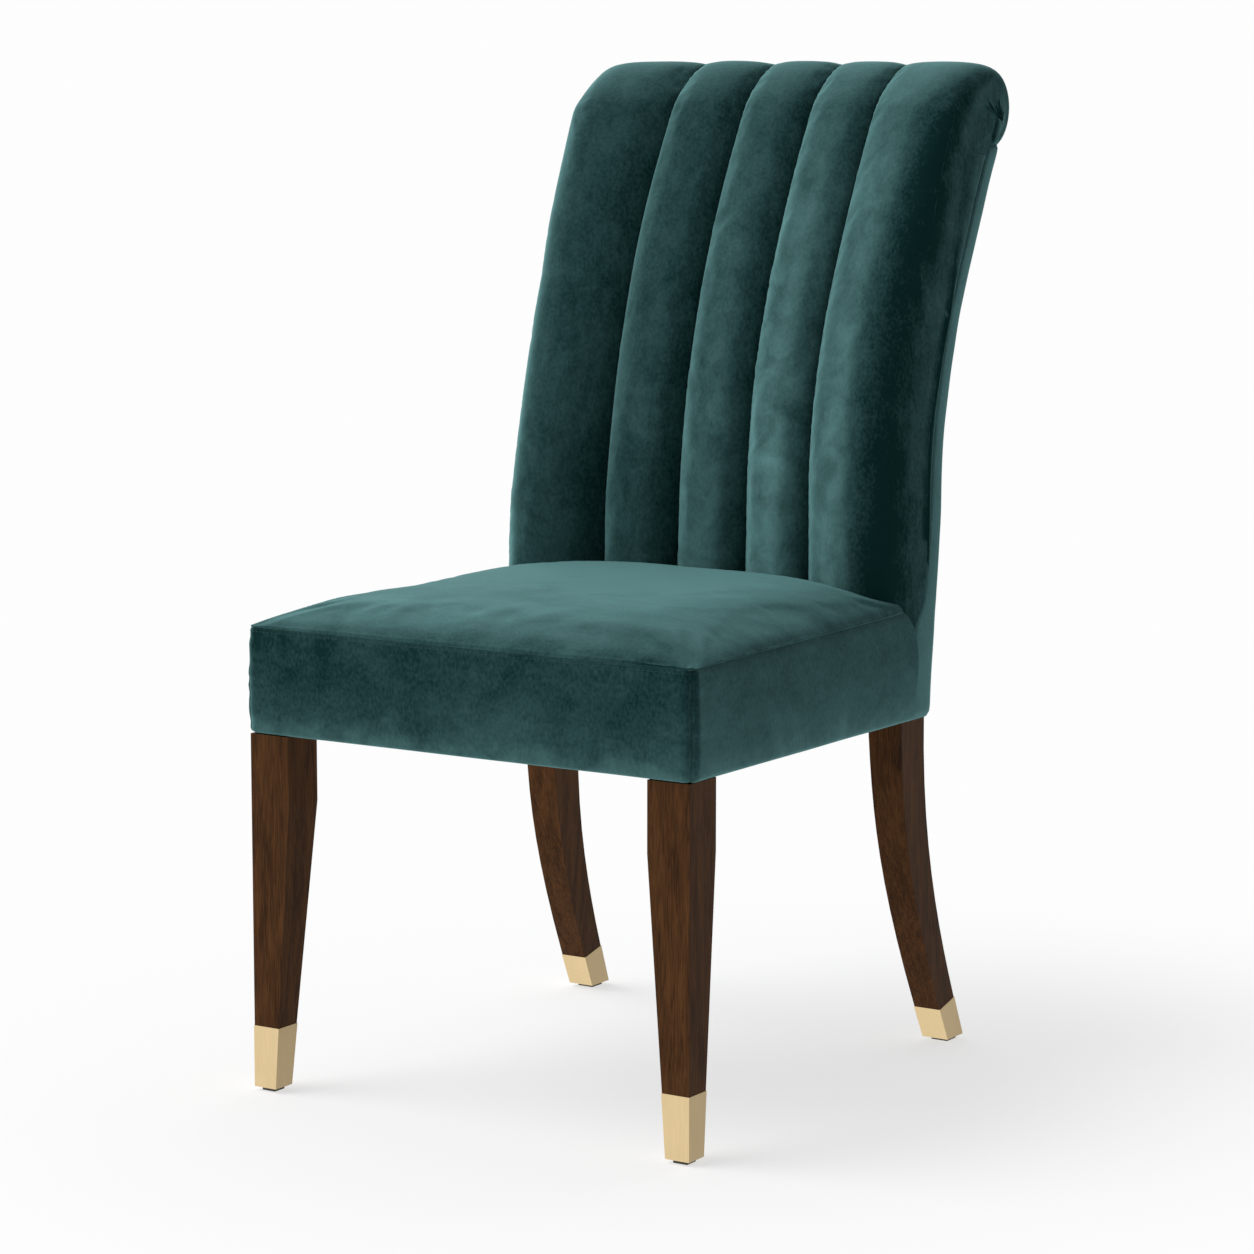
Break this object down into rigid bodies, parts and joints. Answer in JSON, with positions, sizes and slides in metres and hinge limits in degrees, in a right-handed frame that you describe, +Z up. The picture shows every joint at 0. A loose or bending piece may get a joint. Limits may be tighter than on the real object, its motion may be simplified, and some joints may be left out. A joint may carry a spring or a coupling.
{
  "type": "dining chair",
  "caption": "Upholstered dining chair with a channelled scroll back, tapered front legs and swept rear legs in metal ferrules.",
  "frame": {"origin": "on the floor, midway between the seat's front and the roll's rear, on the centre line", "axes": "+X to the chair's right side seen from the front, -Y the way the sitter faces, +Z up"},
  "size_m": [0.514, 0.692, 1.0085],
  "materials": {
    "walnut_stain": "dark walnut stain, satin lacquer",
    "brass": "satin brushed brass",
    "glide_plastic": "moulded black plastic",
    "steel": "zinc plated",
    "frame_beech": "planed beech, unfinished",
    "wadding": "bonded polyester wadding",
    "foam": "open-cell upholstery foam",
    "velvet_seat": "teal cut-pile velvet, nap towards the front",
    "velvet_boxing": "teal cut-pile velvet",
    "dust_cloth": "black non-woven dust cloth",
    "webbing": "woven elastic webbing",
    "calico": "plain woven calico",
    "velvet_back": "teal cut-pile velvet",
    "velvet_band": "teal cut-pile velvet"
  },
  "bodies": {
    "root": {"front_leg_left": "walnut_stain", "front_leg_right": "walnut_stain", "rear_leg_left": "walnut_stain", "rear_leg_right": "walnut_stain", "front_ferrule_left": "brass", "front_ferrule_right": "brass", "rear_ferrule_left": "brass", "rear_ferrule_right": "brass", "front_glide_left": "glide_plastic", "front_glide_right": "glide_plastic", "rear_glide_left": "glide_plastic", "rear_glide_right": "glide_plastic", "glide_nails": "steel", "ferrule_pins": "brass", "front_seat_rail": "frame_beech", "rear_seat_rail": "frame_beech", "side_seat_rail_left": "frame_beech", "side_seat_rail_right": "frame_beech", "front_corner_block_left": "frame_beech", "front_corner_block_right": "frame_beech", "rear_corner_block_left": "frame_beech", "rear_corner_block_right": "frame_beech", "corner_block_screws": "steel", "rail_dowels": "frame_beech", "back_lower_rail": "frame_beech", "back_top_rail": "frame_beech", "back_rail_dowels": "frame_beech", "roll_core": "frame_beech", "roll_core_screws": "steel", "seat_springs": "steel", "spring_clips": "steel", "seat_deck": "wadding", "seat_foam": "foam", "seat_cover_top": "velvet_seat", "seat_boxing_front": "velvet_boxing", "seat_boxing_left": "velvet_boxing", "seat_boxing_right": "velvet_boxing", "dust_cover": "dust_cloth", "dust_cover_staples": "steel", "back_webbing": "webbing", "webbing_staples": "steel", "back_foam": "foam", "roll_foam": "foam", "back_lining": "calico", "back_channel_1": "velvet_back", "back_channel_2": "velvet_back", "back_channel_3": "velvet_back", "back_channel_4": "velvet_back", "back_channel_5": "velvet_back", "side_wadding_left": "velvet_back", "side_wadding_right": "velvet_back", "roll_end_left": "velvet_back", "roll_end_right": "velvet_back", "roll_end_tab_left": "velvet_back", "roll_end_tab_right": "velvet_back", "side_band_left": "velvet_band", "side_band_right": "velvet_band", "outside_back_padding": "wadding", "outside_back_cover": "velvet_band"}
  },
  "joints": []
}
